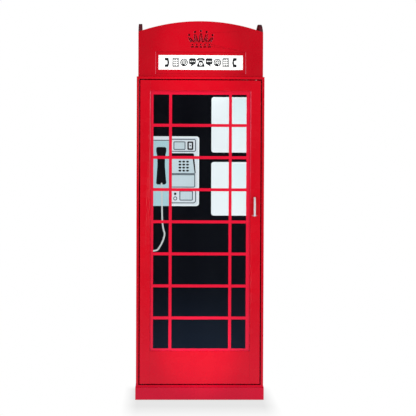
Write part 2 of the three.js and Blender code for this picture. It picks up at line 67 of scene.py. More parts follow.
class Tree:
    """A material's node tree, with short calls to build it."""

    def __init__(self, name):
        self.material = bpy.data.materials.new(name)
        self.material.use_nodes = True
        self.tree = self.material.node_tree
        self.tree.nodes.clear()
        self.frame = self.add("ShaderNodeTexCoord")
        self.place = self.frame.outputs["Object"]

    def add(self, kind, links=None, **settings):
        """A node. A setting is one of its properties or, if it has none by that name, a socket's value."""
        node = self.tree.nodes.new(kind)
        for key, value in settings.items():
            if hasattr(node, key):
                setattr(node, key, value)
            else:
                node.inputs[key.replace("_", " ")].default_value = value
        for key, socket in (links or {}).items():
            self.link(socket, node.inputs[key])
        return node

    def link(self, a, b):
        self.tree.links.new(a, b)

    def axes(self, vector):
        """The X, Y and Z outputs of a vector."""
        return self.add("ShaderNodeSeparateXYZ", {"Vector": vector}).outputs

    def noise(self, scale, detail=3.0, stretch=None):
        """Noise in object space; scale is in features per metre."""
        where = self.place
        if stretch is not None:
            where = self.add("ShaderNodeMapping", {"Vector": self.place}, Scale=stretch).outputs["Vector"]
        return self.add("ShaderNodeTexNoise", {"Vector": where}, Scale=scale, Detail=detail).outputs["Fac"]

    def spread(self, value, low, high, start=0.3, end=0.7):
        """Stretches a value from start..end to low..high."""
        node = self.add("ShaderNodeMapRange", {"Value": value},
                        From_Min=start, From_Max=end, To_Min=low, To_Max=high)
        return node.outputs["Result"]

    def maths(self, operation, a, b=0.0):
        return add_maths(self.tree, operation, a, b)

    def product(self, *values):
        """The values multiplied together."""
        total = values[0]
        for value in values[1:]:
            total = self.maths("MULTIPLY", total, value)
        return total

    def mix(self, factor, a, b):
        """Mixes two colours. A colour is a tuple or a socket."""
        node = self.add("ShaderNodeMix", data_type="RGBA")
        for number, value in ((0, factor), (6, a), (7, b)):
            join(self.tree, value, node.inputs[number])
        return node.outputs[2]

    def bump(self, layers):
        """Bump from (height socket, distance in metres) layers."""
        normal = None
        for height, distance in layers:
            node = self.add("ShaderNodeBump", {"Height": height}, Strength=1.0, Distance=distance)
            if normal is not None:
                self.link(normal, node.inputs["Normal"])
            normal = node.outputs["Normal"]
        return normal

    def crevice(self, distance, inside=False):
        """1 in the open, less where surfaces close in or, if inside, where an edge is near."""
        node = self.add("ShaderNodeAmbientOcclusion", inside=inside, samples=6, only_local=inside,
                        Distance=distance)
        return node.outputs["AO"]

    def principled(self, links, **values):
        """The finished material, with a Principled shader."""
        shader = self.add("ShaderNodeBsdfPrincipled", links, **values)
        self.add("ShaderNodeOutputMaterial", {"Surface": shader.outputs["BSDF"]})
        return self.material


# ---------------------------------------------------------------- finishes

def scaled(colour, by):
    return tuple(channel * by for channel in colour)


RED = (0.80, 0.0008, 0.014)
# The pale pink of the painted highlights on upright front edges.
HIGHLIGHT_TINT = (0.80, 0.17, 0.24)
# The dark dull red of a board's narrow edges: coat sunk in, and painted shade.
SUNK_IN_AND_SHADED = (0.17, 0.035, 0.045)
CORNER_SHADE_REACH, EDGE_REACH = 0.003, 0.0016  # how far the painted shade reaches from a corner, and wear from an edge
HIGHLIGHT_HEIGHTS = (0.90, 1.38)  # where the painted edge highlights begin and are brightest
BAND_EDGE = (-0.0004, -0.0001)  # distances from the door's opening: where the band of painted highlight begins
BAND_FADE = (0.0012, 0.0024)  # and where it fades out
BAND_TOP = 0.004  # how far under the opening's top the band ends
TURNED = (-0.45, -0.2)  # a normal's component, where a face counts as turned that way


def painted_edge_highlight(t, sight):
    """A painted highlight, 0 to 1, on upright front edges that face the middle of the cabinet.

    With sight, (x, z) of the upper corner of the door's opening, on a narrow band beside the opening.
    """
    facing, spot = t.axes(t.frame.outputs["Normal"]), t.axes(t.place)
    lit_edge = t.spread(facing["Y"], 1.0, 0.0, *TURNED)
    if sight is None:
        inward = t.product(facing["X"], t.maths("SIGN", spot["X"]))
        lit_edge = t.product(lit_edge, t.spread(inward, 1.0, 0.0, *TURNED))
    else:
        x, z = sight
        across = t.maths("ABSOLUTE", spot["X"])
        lit_edge = t.product(
            lit_edge,
            t.spread(across, 0.0, 1.0, x + BAND_EDGE[0], x + BAND_EDGE[1]),
            t.spread(across, 1.0, 0.0, x + BAND_FADE[0], x + BAND_FADE[1]),
            t.spread(spot["Z"], 1.0, 0.0, z - BAND_TOP, z),
        )
    streaks = t.spread(t.noise(40.0, 4.0, (1.0, 1.0, 0.3)), 0.6, 1.0)
    # The painted highlight fades out downwards, in uneven streaks.
    return t.product(lit_edge, t.spread(spot["Z"], 0.0, 1.0, *HIGHLIGHT_HEIGHTS), streaks)


def lacquer(name, strength=1.0, roughness=0.26, red=RED, seed=0.0, thin=None, highlight=None, sight=None):
    """Sprayed satin lacquer: cloudy colour, orange peel, painted shade in corners and thin edges.

    thin is the colour of a board's narrow edges: coat sunk in, and painted shade. highlight is the colour
    of the painted highlights on upright edges, and sight says where they are, as in painted_edge_highlight.
    """
    t = Tree(name)
    base = scaled(red, strength)
    cloud = t.noise(3.1 + seed, 4.0)
    speck = t.noise(240.0, 2.0)
    colour = t.mix(t.spread(cloud, 0.0, 1.0), scaled(base, 0.94), scaled(base, 1.05))
    colour = t.mix(t.spread(speck, 0.0, 0.10), colour, scaled(base, 0.7))
    # Narrow edges darker and duller: coat sunk in, and painted shade.
    if thin is not None:
        across = t.maths("ABSOLUTE", t.axes(t.add("ShaderNodeNewGeometry").outputs["Normal"])["X"])
        fibre = t.spread(t.noise(160.0, 4.0, (1.0, 1.0, 0.2)), 0.0, 1.0)
        narrow = t.mix(fibre, scaled(thin, 0.7), scaled(thin, 1.3))
        colour = t.mix(t.spread(across, 1.0, 0.0, 0.4, 0.7), colour, narrow)
    # Painted highlights on upright front edges.
    if highlight is not None:
        colour = t.mix(painted_edge_highlight(t, sight), colour, highlight)
    # Painted shade in corners, where surfaces close in.
    corner = t.spread(t.crevice(CORNER_SHADE_REACH), 0.3, 1.0, 0.3, 0.8)
    colour = t.mix(corner, scaled(base, 0.7), colour)
    edge = t.maths("SUBTRACT", 1.0, t.spread(t.crevice(EDGE_REACH, inside=True), 0.0, 1.0, 0.35, 0.8))
    worn = t.product(edge, t.spread(t.noise(55.0, 4.0), 0.0, 0.38, 0.4, 0.62))
    colour = t.mix(worn, colour, (min(1.0, base[0] * 1.15), 0.05, 0.07))
    rough = t.spread(t.noise(17.0, 4.0), roughness - 0.05, roughness + 0.07)
    rough = t.maths("ADD", rough, t.product(worn, 0.25))
    normal = t.bump([(t.noise(330.0, 2.0), 0.00005), (t.noise(38.0, 2.0), 0.00010)])
    return t.principled(
        {"Base Color": colour, "Roughness": rough, "Normal": normal},
        Specular_IOR_Level=0.16, Coat_Weight=0.5, Coat_Roughness=0.12,
    )


def print_ink(name, colour, vary, roughness=0.4, tint=None, rows=0.0):
    """Screen-printed ink: a very fine dot, slightly uneven colour.

    A tint fades in upwards, again and again, rows times in a metre.
    """
    t = Tree(name)
    cloud = t.noise(9.0, 3.0)
    dot = t.noise(900.0, 1.0)
    ink = t.mix(t.spread(cloud, 0.0, 1.0), scaled(colour, 1.0 - vary), scaled(colour, 1.0 + vary * 0.5))
    if tint is not None:
        wave = t.maths("FRACT", t.product(t.axes(t.place)["Z"], rows))
        ink = t.mix(t.spread(wave, 0.0, 1.0, 0.05, 0.95), ink, tint)
    ink = t.mix(t.spread(dot, 0.0, 0.06), ink, scaled(colour, 0.6))
    rough = t.spread(t.noise(60.0, 3.0), roughness - 0.06, roughness + 0.08)
    return t.principled({"Base Color": ink, "Roughness": rough}, Specular_IOR_Level=0.25)


def metal(name, colour, roughness, vary, blotch=0.0, metallic=1.0, drawn=False):
    """Metal with an all-over grain, or fine upright lines if it is drawn, and faint blotches."""
    t = Tree(name)
    lines = t.noise(1900.0, 2.0, (1.0, 1.0, 0.04) if drawn else None)
    patch = t.noise(120.0, 4.0)
    tone = t.mix(t.spread(patch, 0.0, 1.0), scaled(colour, 1.0 - vary - blotch), scaled(colour, 1.0))
    tone = t.mix(t.spread(lines, 0.0, 0.22), tone, scaled(colour, 0.75))
    rough = t.maths("ADD", t.spread(lines, roughness - 0.05, roughness + 0.06), t.spread(patch, 0.0, vary))
    normal = t.bump([(lines, 0.000006), (t.noise(300.0, 2.0), 0.000012)])
    return t.principled({"Base Color": tone, "Roughness": rough, "Normal": normal}, Metallic=metallic)


def plastic(name, colour, roughness=0.42, reach=0.004, shade=0.6):
    """Moulded plastic: a fine spark-eroded grain, slight yellowing, and shade where surfaces close in."""
    t = Tree(name)
    patch = t.noise(60.0, 3.0)
    tone = t.mix(t.spread(patch, 0.0, 1.0), scaled(colour, 0.93), colour)
    corner = t.spread(t.crevice(reach), 0.0, 1.0, 0.3, 0.85)
    tone = t.mix(corner, scaled(colour, shade), tone)
    grain = t.noise(1400.0, 2.0)
    rough = t.spread(grain, roughness - 0.05, roughness + 0.08)
    normal = t.bump([(grain, 0.00002)])
    return t.principled({"Base Color": tone, "Roughness": rough, "Normal": normal}, Specular_IOR_Level=0.4)


def sheet_black(name):
    """The glossy black ground behind the glass, with faint roller bands."""
    t = Tree(name)
    band = t.noise(6.0, 4.0, (1.0, 1.0, 0.12))
    tone = t.mix(t.spread(band, 0.0, 1.0), (0.0018, 0.0016, 0.0032), (0.0034, 0.0036, 0.0058))
    dust = t.noise(1100.0, 1.0)
    tone = t.mix(t.spread(dust, 0.0, 0.03, 0.6, 0.8), tone, (0.03, 0.03, 0.04))
    rough = t.spread(t.noise(45.0, 3.0), 0.30, 0.42)
    return t.principled({"Base Color": tone, "Roughness": rough}, Specular_IOR_Level=0.2)


def glass(name):
    """Clear float glass: what is behind shows straight through, with a mirror share by angle."""
    t = Tree(name)
    smear = t.noise(7.0, 5.0, (1.0, 1.0, 0.35))
    clear = t.add("ShaderNodeBsdfTransparent", Color=(0.975, 0.99, 0.985, 1.0))
    smeared = {"Roughness": t.spread(smear, 0.01, 0.075)}
    mirror = t.add("ShaderNodeBsdfGlossy", smeared, Color=(1.0, 1.0, 1.0, 1.0))
    fresnel = t.add("ShaderNodeFresnel", IOR=1.42)
    outer_face = t.maths("SUBTRACT", 1.0, t.add("ShaderNodeNewGeometry").outputs["Backfacing"])
    share = t.product(fresnel.outputs["Fac"], outer_face)
    both = t.add("ShaderNodeMixShader", {0: share, 1: clear.outputs[0], 2: mirror.outputs[0]})
    t.add("ShaderNodeOutputMaterial", {"Surface": both.outputs["Shader"]})
    return t.material


def dark_steel(name):
    """Matt black coated steel."""
    t = Tree(name)
    patch = t.noise(90.0, 4.0)
    tone = t.mix(t.spread(patch, 0.0, 1.0), (0.010, 0.004, 0.005), (0.022, 0.008, 0.010))
    grain = t.noise(700.0, 2.0)
    rough = t.spread(grain, 0.5, 0.68)
    normal = t.bump([(grain, 0.00003)])
    return t.principled({"Base Color": tone, "Roughness": rough, "Normal": normal}, Specular_IOR_Level=0.3)


SIGHT = (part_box("door_lock_stile")[0].x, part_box("door_top_rail")[0].z)
# The lower strengths of the fascia and plinth lacquers, against the body and the door, are painted shade.
FINISH = {
    "body": lacquer("red_lacquer_body", 0.64),
    "side": lacquer("red_lacquer_side", 0.60, seed=0.4, highlight=scaled(HIGHLIGHT_TINT, 0.7)),
    "door": lacquer("red_lacquer_door", 0.64, seed=0.9, highlight=HIGHLIGHT_TINT, sight=SIGHT),
    "fascia": lacquer("red_lacquer_fascia", 0.54, roughness=0.29, seed=1.3, highlight=HIGHLIGHT_TINT),
    "fascia_side": lacquer("red_lacquer_fascia_side", 0.54, roughness=0.29, seed=1.3, thin=SUNK_IN_AND_SHADED),
    "plinth": lacquer("red_lacquer_plinth", 0.61, red=(0.80, 0.0010, 0.026), seed=1.7),
    "shelf": lacquer("red_lacquer_shelf", 0.74, roughness=0.36, seed=2.2),
    "glass": glass("clear_float_glass"),
    "black_sheet": sheet_black("black_printed_ground"),
    "sign_white": plastic("white_sign_acrylic", (0.90, 0.91, 0.90), 0.3),
    "dark_steel": dark_steel("black_coated_steel"),
    "polished": metal("polished_steel", (0.92, 0.915, 0.92), 0.36, 0.04, metallic=0.48, drawn=True),
    "zinc": metal("zinc_plated_steel", (0.62, 0.64, 0.68), 0.34, 0.12, blotch=0.08),
    "white_plastic": plastic("white_moulded_plastic", (0.80, 0.79, 0.75)),
    # The catch sits just behind the door: its painted shade reaches far and is nearly black.
    "catch_plastic": plastic("catch_moulded_plastic", (0.80, 0.79, 0.75), reach=0.025, shade=0.04),
    "ink_red": print_ink("red_ink", (0.73, 0.0012, 0.030), 0.02),
    "ink_white": print_ink("white_ink", (0.71, 0.74, 0.78), 0.02),
    "ink_casing": print_ink("casing_ink", (0.59, 0.62, 0.677), 0.03),
    "ink_shade": print_ink("shade_ink", (0.47, 0.547, 0.603), 0.04),
    "ink_cradle": print_ink("cradle_ink", (0.338, 0.496, 0.558), 0.04),
    "ink_pane": print_ink("pane_ink", (0.72, 0.755, 0.795), 0.02, tint=(0.60, 0.71, 0.76), rows=3.4),
    "ink_line": print_ink("line_ink", (0.035, 0.055, 0.075), 0.05),
    "ink_black": print_ink("black_ink", (0.004, 0.004, 0.006), 0.05),
    "ink_cord": print_ink("cord_ink", (0.48, 0.49, 0.50), 0.05),
    "sign_ink": print_ink("sign_ink", (0.012, 0.013, 0.016), 0.06, roughness=0.45),
}


# ---------------------------------------------------------------- CAD nodes: rounded edges and finishes

SHARP, CRISP = math.radians(32), math.radians(60)  # edges to round, and edges to shade crisp once rounded
NEAR, FAR_OFF = 0.0007, 9.0


def new_group(name):
    """An empty geometry node group with its input and output."""
    group = bpy.data.node_groups.new(name, "GeometryNodeTree")
    for direction in ("INPUT", "OUTPUT"):
        group.interface.new_socket("Geometry", in_out=direction, socket_type="NodeSocketGeometry")
    return group, group.nodes.new("NodeGroupInput").outputs[0], group.nodes.new("NodeGroupOutput").inputs[0]


def smoothing_group():
    """Geometry nodes that shade smooth, for the weighted normals, and keep unrounded edges crisp."""
    group, start, end = new_group("shade_smooth")
    new, link = group.nodes.new, group.links.new
    smooth, crisp = new("GeometryNodeSetShadeSmooth"), new("GeometryNodeSetShadeSmooth")
    crisp.domain = "EDGE"
    crisp.inputs["Shade Smooth"].default_value = False
    angle = new("GeometryNodeInputMeshEdgeAngle").outputs[0]
    link(add_maths(group, "GREATER_THAN", angle, CRISP), crisp.inputs["Selection"])
    link(start, smooth.inputs["Geometry"])
    link(smooth.outputs["Geometry"], crisp.inputs["Geometry"])
    link(crisp.outputs["Geometry"], end)
    return group


def weighting_group(name, usual, boxes):
    """Geometry nodes that give sharp edges their share of the bevel's width.

    A box is (low corner, high corner, share) in metres. An edge takes the share of the last box that holds
    its middle, and the usual share if none does.
    """
    group, start, end = new_group(name)
    new, link = group.nodes.new, group.links.new
    split = new("ShaderNodeSeparateXYZ")
    link(new("GeometryNodeInputPosition").outputs[0], split.inputs[0])

    def maths(operation, a, b):
        return add_maths(group, operation, a, b)

    sharp = maths("GREATER_THAN", new("GeometryNodeInputMeshEdgeAngle").outputs[0], SHARP)
    weight = usual
    for low, high, share in boxes:
        inside = 1.0
        for axis in range(3):
            inside = maths("MULTIPLY", inside, maths("GREATER_THAN", split.outputs[axis], low[axis]))
            inside = maths("MULTIPLY", inside, maths("LESS_THAN", split.outputs[axis], high[axis]))
        elsewhere = maths("MULTIPLY", maths("SUBTRACT", 1.0, inside), weight)
        weight = maths("ADD", elsewhere, maths("MULTIPLY", inside, share))
    store = new("GeometryNodeStoreNamedAttribute")
    store.data_type, store.domain = "FLOAT", "EDGE"
    store.inputs["Name"].default_value = "bevel_weight_edge"
    link(start, store.inputs["Geometry"])
    link(maths("MULTIPLY", sharp, weight), store.inputs["Value"])
    link(store.outputs["Geometry"], end)
    return group


SMOOTHING = smoothing_group()
SAME_POINT, SAME_PLANE = 0.00002, math.radians(0.5)
ARC_FROM = 1.2  # mm: edges rounder than this get their outer corners filled with an arc
FLAT_FACES_LEAD = 90  # how strongly large faces set the normals of the corners they share


def finish_node(name, finish, radius, segments=3, weights=None, merge=True):
    """Rounds a CAD node's edges by radius (mm) with modifiers, and gives it its finish.

    weights is the group that gives each edge its share of the radius. merge joins flat faces first.
    """
    obj = nodes[name]
    weld = obj.modifiers.new("weld", "WELD")
    weld.merge_threshold = SAME_POINT
    if merge:
        flat = obj.modifiers.new("flat", "DECIMATE")
        flat.decimate_type, flat.angle_limit = "DISSOLVE", SAME_PLANE
    if weights is not None:
        obj.modifiers.new("weights", "NODES").node_group = weights
    bevel = obj.modifiers.new("round", "BEVEL")
    bevel.width, bevel.segments, bevel.use_clamp_overlap = radius * MM, segments, False
    bevel.limit_method, bevel.angle_limit = ("WEIGHT" if weights else "ANGLE"), SHARP
    bevel.miter_outer = "MITER_ARC" if weights is None and radius > ARC_FROM else "MITER_SHARP"
    obj.modifiers.new("smooth", "NODES").node_group = SMOOTHING
    normals = obj.modifiers.new("normals", "WEIGHTED_NORMAL")
    normals.keep_sharp, normals.weight = True, FLAT_FACES_LEAD
    obj.data.materials.clear()
    obj.data.materials.append(FINISH[finish])


# The emblem's cut edges stay crisp, and so do the joints where the door's rails meet its stiles. The
# upright front edges of the sign's pocket, the door's opening and the left side panel are the roundest.
ROUNDER, CRISP_EDGE = 1.0, 0.0
CROWN_SHARE, DOOR_SHARE, SIDE_SHARE = 0.3, 0.5, 0.24
emblem_low, emblem_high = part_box("emblem_backing_plate")
plate_low, plate_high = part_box("sign_plate")
crown_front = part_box("front_fascia")[0].y
lower_rail, upper_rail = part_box("door_bottom_rail"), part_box("door_top_rail")
door_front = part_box("door_hinge_stile")[0].y
left_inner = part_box("left_side_panel")[1].x


def at(x, z0, z1, share, y=None):
    """A box for weighting_group round the edges at x, from z0 to z1, at any depth or only at y."""
    y0, y1 = (-FAR_OFF, FAR_OFF) if y is None else (y - NEAR, y + NEAR)
    return (x - NEAR, y0, z0 - NEAR), (x + NEAR, y1, z1 + NEAR), share


crown_edges = [at(x, plate_low.z, plate_high.z, ROUNDER, crown_front) for x in (plate_low.x, plate_high.x)]
crown_edges.append((emblem_low, emblem_high + Vector((0, FAR_OFF, 0)), CRISP_EDGE))
stile_edges, rail_edges = [], []
for x in (lower_rail[0].x, lower_rail[1].x):
    stile_edges.append(at(x, lower_rail[1].z, upper_rail[0].z, ROUNDER, door_front))
    stile_edges.append(at(x, -FAR_OFF, lower_rail[1].z, CRISP_EDGE))
    stile_edges.append(at(x, upper_rail[0].z, FAR_OFF, CRISP_EDGE))
    rail_edges.append(at(x, -FAR_OFF, FAR_OFF, CRISP_EDGE))
SIDE_EDGES = weighting_group("side_edges", SIDE_SHARE, [at(left_inner, -FAR_OFF, FAR_OFF, ROUNDER)])
CROWN_EDGES = weighting_group("crown_edges", CROWN_SHARE, crown_edges)
STILE_EDGES = weighting_group("stile_edges", DOOR_SHARE, stile_edges)
RAIL_EDGES = weighting_group("rail_edges", DOOR_SHARE, rail_edges)

for node_name in sorted(nodes):
    if node_name.startswith("plinth_") or node_name == "bottom_board":
        finish_node(node_name, "plinth", 0.9)
    elif node_name in ("left_side_panel", "right_side_panel"):
        finish_node(node_name, "side", 1.8, 4, weights=SIDE_EDGES)
    elif node_name in ("top_board", "back_panel"):
        finish_node(node_name, "body", 1.0)
    elif node_name == "front_fascia":
        finish_node(node_name, "fascia", 2.8, 4, weights=CROWN_EDGES, merge=False)
    elif node_name == "rear_fascia":
        finish_node(node_name, "fascia", 0.8)
    elif node_name.endswith("_fascia"):
        finish_node(node_name, "fascia_side", 0.8)
    elif node_name.endswith("_stile"):
        finish_node(node_name, "door", 1.6, 4, weights=STILE_EDGES)
    elif node_name.endswith("_rail"):
        finish_node(node_name, "door", 1.6, 4, weights=RAIL_EDGES)
    elif node_name.startswith("glazing_bead"):
        finish_node(node_name, "door", 0.8)
    elif "_pin_" in node_name and node_name.startswith("shelf"):
        finish_node(node_name, "zinc", 0.35, 2)
    elif node_name.startswith("shelf"):
        finish_node(node_name, "shelf", 1.0)
    elif node_name.startswith(("handle_screw", "catch_screw", "strike")):
        finish_node(node_name, "zinc", 0.25, 2)
    elif node_name.startswith("pivot_"):
        finish_node(node_name, "dark_steel", 0.25, 2)
    elif node_name == "magnetic_catch":
        finish_node(node_name, "catch_plastic", 0.5)
    elif node_name == "door_buffer":
        finish_node(node_name, "white_plastic", 0.5)
    elif node_name == "door_handle":
        finish_node(node_name, "polished", 1.9, 5)
    elif node_name == "glass_pane":
        finish_node(node_name, "glass", 0.6, 2)
    elif node_name == "printed_backing_sheet":
        finish_node(node_name, "black_sheet", 0.2, 1)
    elif node_name == "sign_plate":
        finish_node(node_name, "fascia", 0.4)
    elif node_name == "sign_panel":
        finish_node(node_name, "sign_white", 0.4)
    elif node_name == "emblem_backing_plate":
        finish_node(node_name, "dark_steel", 0.5)


# ---------------------------------------------------------------- flat artwork: outlines in mm, as (x, z)

def arc(cx, cz, radius, start, end, steps=8, squash=1.0):
    """Points on an arc, angles in degrees."""
    points = []
    for i in range(steps + 1):
        a = math.radians(start + (end - start) * i / steps)
        points.append((cx + radius * math.cos(a), cz + radius * squash * math.sin(a)))
    return points


def disc(cx, cz, radius, squash=1.0, steps=28):
    return arc(cx, cz, radius, 0, 360 - 360 / steps, steps - 1, squash)


def rectangle(x0, x1, z0, z1, r=0.0, corners="abcd"):
    """A rectangle with rounded corners: a lower left, b lower right, c upper right, d upper left."""
    spots = (("a", x0, z0, 180), ("b", x1, z0, 270), ("c", x1, z1, 0), ("d", x0, z1, 90))
    points = []
    for letter, x, z, start in spots:
        if r and letter in corners:
            cx, cz = (x0 + r if x == x0 else x1 - r), (z0 + r if z == z0 else z1 - r)
            points += arc(cx, cz, r, start, start + 90, 6)
        else:
            points.append((x, z))
    return points


def frame_of(x0, x1, z0, z1, line, r=0.0, corners="abcd"):
    """The outline of a rounded rectangle as two loops, a line's width apart."""
    inner = rectangle(x0 + line, x1 - line, z0 + line, z1 - line, max(r - line, 0.0), corners)
    return [rectangle(x0, x1, z0, z1, r, corners), inner]


def smooth_path(points, steps=8):
    """A Catmull-Rom curve through the points."""
    padded = [points[0], *points, points[-1]]
    path = []
    for p0, p1, p2, p3 in zip(padded, padded[1:], padded[2:], padded[3:]):
        for i in range(steps):
            t = i / steps
            path.append(tuple(
                0.5 * (2 * b + (c - a) * t + (2 * a - 5 * b + 4 * c - d) * t * t
                       + (3 * b - a - 3 * c + d) * t ** 3)
                for a, b, c, d in zip(p0, p1, p2, p3)
            ))
    return [*path, points[-1]]


def ribbon(path, width, round_ends=True):
    """A stroke of even width along a path, as one loop."""
    left, right = [], []
    for i, (x, z) in enumerate(path):
        x0, z0 = path[max(i - 1, 0)]
        x1, z1 = path[min(i + 1, len(path) - 1)]
        length = math.hypot(x1 - x0, z1 - z0)
        nx, nz = -(z1 - z0) / length * width / 2, (x1 - x0) / length * width / 2
        left.append((x + nx, z + nz))
        right.append((x - nx, z - nz))

    def cap(a, b):
        if not round_ends:
            return []
        cx, cz = (a[0] + b[0]) / 2, (a[1] + b[1]) / 2
        start = math.degrees(math.atan2(a[1] - cz, a[0] - cx))
        return arc(cx, cz, width / 2, start, start - 180, 6)[1:-1]

    return left + cap(left[-1], right[-1]) + right[::-1] + cap(right[0], left[0])


def bar(x0, z0, x1, z1, width, round_ends=True):
    return ribbon([(x0, z0), (x1, z1)], width, round_ends)


def moved(loop, dx, dz, mirror=1.0):
    return [(dx + mirror * x, dz + z) for x, z in loop]


SAME_PRINT_POINT = 0.000004  # metres: far less than a printed line's width


def layer(name, loops, front, thickness, finish, body):
    """Thin closed solids from loops, where a loop inside another is a hole. front is y in mm."""
    curve = bpy.data.curves.new(name, "CURVE")
    curve.dimensions, curve.fill_mode = "2D", "BOTH"
    curve.extrude = thickness / 2 * MM
    for loop in loops:
        spline = curve.splines.new("POLY")
        spline.points.add(len(loop) - 1)
        for point, (x, z) in zip(spline.points, loop):
            point.co = (x * MM, z * MM, 0.0, 1.0)
        spline.use_cyclic_u = True
    drawn = bpy.data.objects.new(name + "_drawn", curve)
    bpy.context.scene.collection.objects.link(drawn)
    bpy.context.view_layer.update()
    mesh = bpy.data.meshes.new_from_object(drawn.evaluated_get(bpy.context.evaluated_depsgraph_get()))
    bpy.data.objects.remove(drawn)
    mesh.name = name
    mesh.transform(Matrix.Rotation(math.pi / 2, 4, "X"))
    mesh.transform(Matrix.Translation((0, (front + thickness / 2) * MM, 0)))
    piece = bpy.data.objects.new(name, mesh)
    bpy.context.scene.collection.objects.link(piece)
    weld = piece.modifiers.new("weld", "WELD")
    weld.merge_threshold = SAME_PRINT_POINT
    mesh.materials.clear()
    mesh.materials.append(FINISH[finish])
    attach(piece, body)


# ---------------------------------------------------------------- print behind the door's glass

hinge_stile, lock_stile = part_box("door_hinge_stile"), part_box("door_lock_stile")
sight_x = (hinge_stile[1].x / MM, lock_stile[0].x / MM)
sight_z = (lower_rail[1].z / MM, upper_rail[0].z / MM)
backing_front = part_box("printed_backing_sheet")[0].y / MM
LAYER, LAYER_PITCH = 0.05, 0.085


def depth(level):
    """Front of a print layer: level 1 lies on the backing sheet."""
    return backing_front - 0.02 - LAYER_PITCH * level + (LAYER_PITCH - LAYER)


BORDER_LEFT, BORDER_RIGHT, BORDER_BELOW, BORDER_ABOVE = 14.5, 19.2, 11.2, 18.0
BAR = 14.0
ROWS, LEFT_COLUMN, RIGHT_COLUMN = 8, 81.0, 76.3

opening = (sight_x[0] + BORDER_LEFT, sight_x[1] - BORDER_RIGHT,
           sight_z[0] + BORDER_BELOW, sight_z[1] - BORDER_ABOVE)
left, right, floor_z, top_z = opening
bar_xs = (left + LEFT_COLUMN, right - RIGHT_COLUMN)
row_pitch = (top_z - floor_z + BAR) / ROWS

columns = [(left, bar_xs[0] - BAR / 2), (bar_xs[0] + BAR / 2, bar_xs[1] - BAR / 2),
           (bar_xs[1] + BAR / 2, right)]
rows = [(floor_z + i * row_pitch, floor_z + (i + 1) * row_pitch - BAR) for i in range(ROWS)]
UNDER_LIP = 8.0  # how far the print runs on under the frame
lattice = [rectangle(sight_x[0] - UNDER_LIP, sight_x[1] + UNDER_LIP,
                     sight_z[0] - UNDER_LIP, sight_z[1] + UNDER_LIP)]
lattice += [rectangle(x0, x1, z0, z1) for x0, x1 in columns for z0, z1 in rows]
layer("printed_lattice", lattice, depth(6), LAYER, "ink_red", "door")

# Two blank notices at the upper right, each with paler window panes.
NOTICE_LEFT, PANE_LEFT, PANE_RIGHT, PANE_MARGIN = 52, 156, 216, 9
notice_right = right + 3
notices, panes = [], []
for z0, z1 in ((1178, 1441), (878, 1133)):
    notices.append(rectangle(NOTICE_LEFT, notice_right, z0, z1, 12, "ad"))
    panes.append(rectangle(PANE_LEFT, PANE_RIGHT, z0 + PANE_MARGIN, z1 - PANE_MARGIN, 3))
layer("printed_notices", notices, depth(1), LAYER, "ink_white", "door")
layer("printed_notice_panes", panes, depth(2), LAYER, "ink_pane", "door")

# A plain payphone drawn in flat shapes: casing, cradle with handset, display, keypad and trays.
PHONE_LEFT, PHONE_RIGHT, PHONE_BASE, PHONE_TOP = -224, -6, 923, 1254
divide = bar_xs[0]
casing = [rectangle(PHONE_LEFT, PHONE_RIGHT, PHONE_BASE, PHONE_TOP, 13, "bc")]
layer("printed_phone_casing", casing, depth(1), LAYER, "ink_casing", "door")
cradle = [rectangle(PHONE_LEFT, divide, 1008, 1232), rectangle(PHONE_LEFT, divide, PHONE_BASE, 1000)]
layer("printed_phone_cradle", cradle, depth(2), LAYER, "ink_cradle", "door")
whites = frame_of(divide, PHONE_RIGHT, PHONE_BASE, PHONE_TOP, 6, 13, "bc")
layer("printed_phone_edges", whites, depth(2), LAYER, "ink_white", "door")
shades = [
    rectangle(-126, -73, 1192, 1228, 3),
    [(divide, 1158), (-38, 1158), (-27, 1079), (divide, 1079)],
    rectangle(divide, -26, 1013, 1074, 5, "b"),
    rectangle(-95, -39, 953, 992, 3, "ab"),
]
layer("printed_phone_shades", shades, depth(2), LAYER, "ink_shade", "door")
LINE = 4.2
line_work = [
    bar(PHONE_LEFT, 1235, divide - 5, 1235, LINE, False),
    bar(PHONE_LEFT, 1006, divide - 5, 1006, LINE, False),
    *frame_of(divide - 4, -21, 1181, 1242, LINE, 9, "bc"),
    *frame_of(-128, -71, 1190, 1230, LINE, 5),
    bar(divide, 1077, -26, 1077, LINE, False),
    *frame_of(divide - 4, -24, 1011, 1074, LINE, 8, "b"),
    *frame_of(-99, -35, 949, 996, LINE, 6, "ab"),
    disc(-119, 959, 9.5), disc(-119, 959, 5.6),
]
layer("printed_phone_lines", line_work, depth(3), LAYER, "ink_line", "door")
outer_line = ribbon(
    [(divide, 938), (-34, 938), *arc(-34, 950, 12, -90, 0, 6)[1:], (-22, 1000)], LINE, False)
layer("printed_phone_outline", [outer_line], depth(4), LAYER, "ink_line", "door")


def handset(cx, z0, z1, half, waist, ear):
    """A receiver seen from the front: two rounded ends joined by a narrower grip."""
    side = [(half - 9, z1)] + arc(half - 9, z1 - 9, 9, 90, 0, 5)[1:]
    side += [(half, z1 - ear), (waist + 1.5, z1 - ear - 22), (waist, (z0 + z1) / 2 + 8)]
    low = [(waist + 1, (z0 + z1) / 2 - 12), (half - 1, z0 + ear), (half, z0 + ear - 8)]
    side += low + arc(half - 9, z0 + 9, 9, 0, -90, 5)
    return [(cx + x, z) for x, z in side] + [(cx - x, z) for x, z in side[::-1]]


